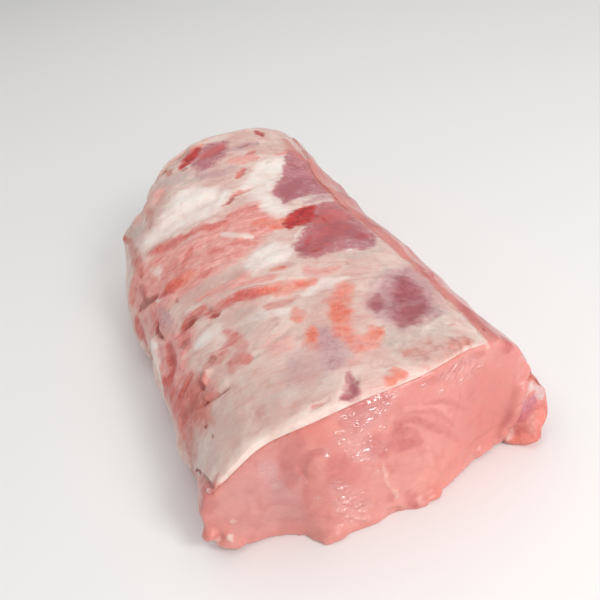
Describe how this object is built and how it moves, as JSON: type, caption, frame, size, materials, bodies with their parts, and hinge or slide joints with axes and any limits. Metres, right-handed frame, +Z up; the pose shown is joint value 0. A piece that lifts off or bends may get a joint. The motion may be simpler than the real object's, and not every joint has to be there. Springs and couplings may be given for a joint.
{
  "type": "raw boneless loin",
  "caption": "Boneless length of raw pork loin, cut square at its ends, with a streaky fat cap over its top and left side and a slim side muscle that stands out as a flap.",
  "frame": {"origin": "middle of the footprint's bounding box, on the surface that the loin lies on", "axes": "+Z up, the front cut faces -Y, +Y along the loin to the far cut, +X towards the chine side with the flap"},
  "size_m": [0.1656, 0.278, 0.0741],
  "materials": {
    "lean": "moist raw pork lean, pale salmon pink, smooth cut with a wet sheen",
    "fat": "chilled pork fat, cream to pinkish white, with pink streaks and thin purple windows",
    "side_muscle": "moist raw side muscle, redder than the lean, under a thin whitish membrane"
  },
  "bodies": {
    "root": {"lean": "lean", "fat_cap": "fat", "side_muscle": "side_muscle"}
  },
  "joints": []
}
